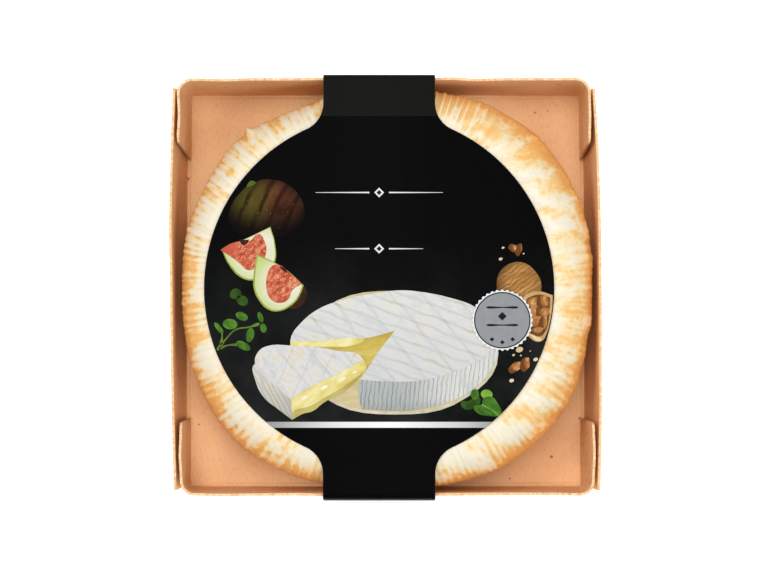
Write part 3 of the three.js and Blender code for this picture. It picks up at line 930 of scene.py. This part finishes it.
# A whole fig in the dark and two quarters of a cut one.
fig_skin = ink("fig_skin", 260, [(0.012, 0.004, 0.003), (0.05, 0.016, 0.008), (0.085, 0.032, 0.014)],
    places=(0.3, 0.48, 0.68), stretch=(1.8, 0.7, 1), turn=25, lines=[(3, 24, 0.85, 2.2, 0.45)],
    fades=[("X", -22.5, -27.5, (0.06, 0.048, 0.008)), ("Y", 17.5, 11.5, (0.01, 0.004, 0.003))],
    round_off=(-24, 17.2, 9.6, 7, (0.003, 0.002, 0.0016)), spots=(1.3, 0.07, (0.16, 0.1, 0.05)))
fig_stalk = ink("fig_stalk", 300, [(0.03, 0.05, 0.008), (0.08, 0.11, 0.02)])
fig_green = ink("fig_green", 300, [(0.12, 0.16, 0.02), (0.27, 0.32, 0.06)])
fig_dark = ink("fig_dark", 500, [(0.012, 0.005, 0.003), (0.05, 0.02, 0.01)])


def fig_inks(name, x, y, wide, high):
    """The inks of a cut fig: pith that turns green at the skin, and red flesh with pale seeds."""
    pith = ink("pith_" + name, 250, [(0.46, 0.46, 0.33), (0.53, 0.51, 0.4)], round_off=(x, y, 1.2 * wide,
        1.2 * high, (0.34, 0.4, 0.13)))
    flesh = ink("flesh_" + name, 900, [(0.2, 0.025, 0.012), (0.36, 0.07, 0.035), (0.5, 0.2, 0.12)],
        places=(0.3, 0.47, 0.62), stretch=(1.5, 0.8, 1), turn=50, spots=(0.6, 0.2, (0.52, 0.36, 0.18)),
        round_off=(x, y, wide, high, (0.36, 0.06, 0.035)))
    return pith, flesh


pith, flesh = fig_inks("back", -26, 7.2, 6.9, 6.9)
printed(1, fig_skin, [(-30.6, 13.6), (-30.4, 16.4), (-28.6, 19.2), (-26, 21.4), (-22.2, 22.2),
    (-18.2, 20.8), (-15.6, 17.4), (-15.4, 14.4), (-17.6, 11.6), (-22, 10.2), (-27.4, 10.6)])
printed(2, fig_stalk, [(-27.2, 20.6), (-26.2, 21.9), (-25, 21.5), (-25.9, 20.9)], sharp=(0, 2))
printed(3, fig_green, [(-32.2, 7.9), (-26.5, 10.4), (-22.2, 12.5), (-21.2, 8.8), (-21.3, 5.2), (-23.1, 2.7),
    (-25.8, 1.5), (-28.5, 2.3), (-30.6, 4.6)], sharp=(0, 2))
printed(4, pith, [(-31.9, 7.6), (-26.5, 10.3), (-22.3, 12.3), (-21.4, 8.8), (-21.55, 5.3), (-23.3, 3),
    (-25.8, 1.8), (-28.3, 2.6), (-30.3, 4.7)], sharp=(0, 2))
printed(5, flesh, [(-32.4, 7.7), (-30.6, 8.9), (-28.5, 9.5), (-26.4, 9.6), (-24.6, 11), (-23.4, 9.6),
    (-23.1, 7), (-24.5, 4.6), (-26.7, 3.6), (-28.5, 5), (-30.2, 6.3)], sharp=(0,))
printed(6, fig_dark, [(-28.6, 9.9), (-27.4, 9.8), (-26.5, 9.9), (-26.9, 9.1), (-27.7, 8.6), (-28.2, 9.1)],
    sharp=(0, 2, 4))
printed(6, fig_dark, [(-18.4, -4), (-15.2, 0.3), (-14.7, -1.4), (-15.3, -3.2), (-16.9, -4.2)], sharp=(1,))
pith, flesh = fig_inks("front", -20.6, 0.8, 6.4, 6.2)
printed(7, fig_green, [(-24.9, 6.9), (-20.8, 4.9), (-18.3, 3.2), (-15.4, 0.5), (-16.3, -1.8), (-18.3, -3.9),
    (-20.6, -4.8), (-22.7, -4.4), (-24.5, -2.6), (-25.6, 0), (-25.6, 2.7)], sharp=(0, 3))
printed(8, pith, [(-24.75, 6.5), (-20.8, 4.7), (-18.3, 3.1), (-15.7, 0.4), (-16.6, -1.7), (-18.5, -3.65),
    (-20.6, -4.5), (-22.5, -4.1), (-24.2, -2.4), (-25.25, 0), (-25.3, 2.7)], sharp=(0, 3))
printed(9, flesh, [(-21.8, 4.5), (-20.2, 4.6), (-18.4, 3.2), (-15.7, 0.8), (-17.6, -0.4), (-18.6, -2.4),
    (-20.4, -3.1), (-22.2, -2.2), (-23, 0), (-22.8, 2.7)], sharp=(3,))
printed(10, fig_dark, [(-20.4, 4.5), (-19.2, 4), (-18.6, 3.2), (-19.4, 3.3)], sharp=(0, 2))

# Small sprigs at the lower left, and a few leaves below the wheel.
leaf = ink("leaf", 420, [(0.017, 0.0553, 0.0068), (0.0382, 0.111, 0.0127), (0.0765, 0.187, 0.0255)],
    stretch=(1, 2, 1), turn=40)
dim_leaf = ink("dim_leaf", 420, [(0.0085, 0.0255, 0.00425), (0.034, 0.0808, 0.0119)])
bright_leaf = ink("bright_leaf", 380, [(0.068, 0.17, 0.017), (0.17, 0.306, 0.0425)])
stem = ink("stem", 400, [(0.0425, 0.085, 0.0127), (0.102, 0.162, 0.0255)])
printed(3, stem, stalk(0.3, (-33, -12.7), (-31.2, -10.4), (-29.2, -8.5), (-26.5, -8), (-24.4, -7.3)))
printed(3, stem, stalk(0.25, (-32.6, -12.4), (-30.8, -11.7), (-28.6, -11.6)))
printed(3, stem, stalk(0.25, (-32.3, -11.6), (-32, -9.8), (-32.2, -8.4)))
for x, y, wide, high, lean in [
        (-29.3, -1.2, 1.2, 1.05, 30), (-27.9, -2.6, 1.25, 1, -30), (-30.4, -7.4, 1.5, 1.05, -5),
        (-28, -5.8, 1.3, 0.8, -25), (-27.7, -11.8, 1.6, 0.75, -28), (-26.3, -9.6, 0.8, 1.5, -12),
        (-24.2, -6, 0.5, 1.1, 20), (-23.6, -8.2, 0.65, 0.95, 15), (-32.7, -8.2, 0.5, 1.4, 38)]:
    printed(4, leaf if y < -5 else dim_leaf, oval(x, y, wide, high, lean))
printed(10, dim_leaf, [(18.3, -23), (20.1, -22), (20.6, -23.4), (19.2, -24.6), (17.1, -24.5),
    (16.7, -23.3)])
printed(11, leaf, oval(19.5, -21.7, 0.85, 1.05))
printed(11, bright_leaf, oval(21.9, -21.7, 1.2, 0.95, -10))
printed(12, leaf, [(19.3, -24.3), (20.9, -23.7), (21.2, -22.6), (22.9, -22.2), (24.2, -23.6), (24.9, -25.2),
    (24.4, -26.2), (22.3, -26.1), (20.2, -25.6)], sharp=(6,))
printed(13, bright_leaf, stalk(0.12, (20.9, -23.8), (22.8, -24.8), (24.3, -26)))

# A whole walnut, half a walnut, loose kernels and crumbs.
shell = ink("nut_shell", 260, [(0.17, 0.075, 0.018), (0.31, 0.155, 0.045), (0.43, 0.24, 0.09)],
    stretch=(2.6, 0.8, 1), turn=55, lines=[(0.8, 55, 0.8, 5, 0.3)], round_off=(28, 1.6, 6.4, 5.6,
    (0.07, 0.028, 0.008)))
husk = ink("nut_husk", 300, [(0.3, 0.17, 0.06), (0.47, 0.31, 0.14)], stretch=(1, 2, 1), turn=20)
hollow = ink("nut_hollow", 420, [(0.06, 0.025, 0.009), (0.15, 0.065, 0.02)])
nut_pale = ink("pale_nut", 500, [(0.357, 0.272, 0.136), (0.527, 0.459, 0.306)])


def kernel_lobe(layer, name, x, y, wide, high, lean):
    """One fold of a walnut kernel, lit in its middle and dark at its rim."""
    lobe = ink("kernel_" + name, 620, [(0.17, 0.06, 0.017), (0.36, 0.155, 0.045), (0.56, 0.33, 0.15)],
        lines=[(0.8, lean, 0.5, 6, 0.3)], round_off=(x - 0.2 * wide, y + 0.25 * high, wide * 1.4, high *
        1.4, (0.1, 0.036, 0.011)))
    printed(layer, lobe, oval(x, y, wide, high, lean, points=10, ripple=0.1))


printed(1, shell, [(24, 0.6), (24.6, 3.2), (26.8, 5), (29.6, 5.1), (32, 3.2), (33.1, 0.7),
    (32.4, -1.8), (28, -3), (24.6, -1.8)])
printed(3, husk, [(29.4, -2), (30.6, -1), (32.6, -0.7), (35.4, -1.5), (35.3, -4), (34.9, -6.5),
    (34.2, -9.2), (33, -10.9), (31, -10.4), (29.6, -8.4), (29.2, -4.6)], sharp=(3,))
printed(4, hollow, [(29.9, -2.6), (31.4, -1.6), (33.2, -1.4), (34.9, -2), (34.6, -6.5), (33.9, -8.8),
    (32.9, -9.9), (31.2, -9.3), (30.1, -7.8), (29.7, -4.6)], sharp=(3,))
printed(5, nut_pale, stalk(0.35, (29.9, -8), (31.2, -9.8), (33, -10.6)))
for name, (layer, x, y, wide, high, lean) in zip("abcdefghijk", [
        (6, 31.2, -3.2, 1.9, 1.2, 30), (7, 33.3, -2.8, 1.3, 1.5, -10), (8, 30.9, -5.2, 1.5, 1.1, 55),
        (9, 33.4, -5.1, 1.6, 1, 25), (10, 31.4, -7, 2, 1.1, 32), (11, 33.3, -7.4, 0.9, 1.8, -15),
        (12, 32, -8.7, 1.5, 0.7, 15), (3, 27.7, -16.2, 1.7, 0.9, 38), (4, 29.7, -15.6, 1, 1.6, -18),
        (3, 27.4, 8.1, 1.15, 0.8, -30), (4, 28.5, 7.8, 0.65, 1.4, -15)]):
    kernel_lobe(layer, name, x, y, wide, high, lean)
for x, y, size in [
        (24.8, 5.9, 0.4), (25.3, 8.2, 0.3), (29.5, 7, 0.2), (28.6, -12.6, 0.75), (27.4, -13.7, 0.3),
        (31.9, -14.6, 0.5), (27, -18.9, 0.5), (28.9, -13.8, 0.2), (30.8, -12.9, 0.15)]:
    printed(2, nut_pale, oval(x, y, size, size * 0.7, 20))

# A round seal with a toothed rim and no wording, and two plain rules where a title would stand.
seal_white = ink("seal_white", 900, [0.51, 0.561])
seal_dark = ink("seal_dark", 900, [(0.0068, 0.0085, 0.0119), (0.0119, 0.0136, 0.017)])
seal_grey = ink("seal_grey", 900, [(0.178, 0.187, 0.196), (0.204, 0.212, 0.221)])
SEAL_X, SEAL_Y = 25.1, -6.6
printed(14, seal_white, oval(SEAL_X, SEAL_Y, 6.25, 6.25, points=72, ripple=0.045))
printed(15, seal_dark, oval(SEAL_X, SEAL_Y, 5.75, 5.75, points=16))
printed(16, seal_grey, oval(SEAL_X, SEAL_Y, 5.5, 5.5, points=16))
for y in (SEAL_Y + 2.6, SEAL_Y - 1):
    printed(17, seal_dark, stalk(0.22, (SEAL_X - 3.2, y), (SEAL_X, y), (SEAL_X + 3.2, y)))
diamond(17, seal_dark, SEAL_X, SEAL_Y + 0.8, 0.9, 0.9)
for x, y in [(-2.1, -3.9), (0, -4.5), (2.1, -3.9)]:
    diamond(17, seal_dark, SEAL_X + x, SEAL_Y + y, 0.5, 0.45)
for y, half in [(19.5, 13), (8, 9)]:
    diamond(1, seal_white, 0, y, 1, 1)
    diamond(2, seal_dark, 0, y, 0.55, 0.55)
    for side in (-1, 1):
        near, far = 2 * side, half * side
        rule = [(near, y + 0.14), (far, y + 0.04), (far, y - 0.04), (near, y - 0.14)]
        printed(1, seal_white, rule, sharp=range(4))

picture = join("printed_picture", printed_shapes)
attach(picture, "root")


# ---- Floor, light and camera ----
# A plain white floor under five soft lamps, and a camera almost straight above the pack.


def studio_white():
    white = Finish("studio_white")
    tone = white.ramp(white.noise(white.object_place(), 3, 2), (0, 0.93), (1, 0.95))
    return white.shade(Base_Color=tone, Roughness=0.9, Specular_IOR_Level=0,
                       Emission_Color=(1, 1, 1), Emission_Strength=0.18)


pick()
bpy.ops.mesh.primitive_plane_add(size=6, location=(0, 0, 0))
floor = bpy.context.object
floor.name = "studio_floor"
floor.data.materials.append(studio_white())

for name, place, size, watts in [
        ("top_lamp", (0, 0.08, 1.05), 0.4, 5.2), ("left_lamp", (-0.55, 0.12, 0.86), 0.5, 3),
        ("right_lamp", (0.52, -0.28, 0.86), 0.5, 2.9), ("back_lamp", (-0.1, 0.5, 0.9), 0.4, 2.1),
        ("front_lamp", (0.15, -0.55, 0.86), 0.4, 1.3)]:
    bpy.ops.object.light_add(type="AREA", location=place)
    lamp = bpy.context.object
    lamp.name = name
    lamp.data.shape = "DISK"
    lamp.data.size = size
    lamp.data.energy = watts
    lamp.rotation_mode = "QUATERNION"
    lamp.rotation_quaternion = (-lamp.location).to_track_quat("-Z", "Y")

scene = bpy.context.scene
scene.world = bpy.data.worlds.new("studio_air")
scene.world.use_nodes = True
air = scene.world.node_tree.nodes["Background"]
air.inputs["Color"].default_value = (1, 1, 1, 1)
air.inputs["Strength"].default_value = 0.46
scene.view_settings.view_transform = "Standard"

CAMERA_PLACE = (0.0001, -0.0151, 0.472)
CAMERA_TARGET = (0.0001, 0.0006, 0.001)
bpy.ops.object.camera_add(location=CAMERA_PLACE)
camera = bpy.context.object
camera.name = "camera"
camera.data.lens = 101.3
camera.data.clip_start = 0.01
camera.data.clip_end = 10
aim = [target - place for target, place in zip(CAMERA_TARGET, CAMERA_PLACE)]
camera.rotation_euler = (math.atan2(aim[1], -aim[2]), 0, 0)
scene.camera = camera
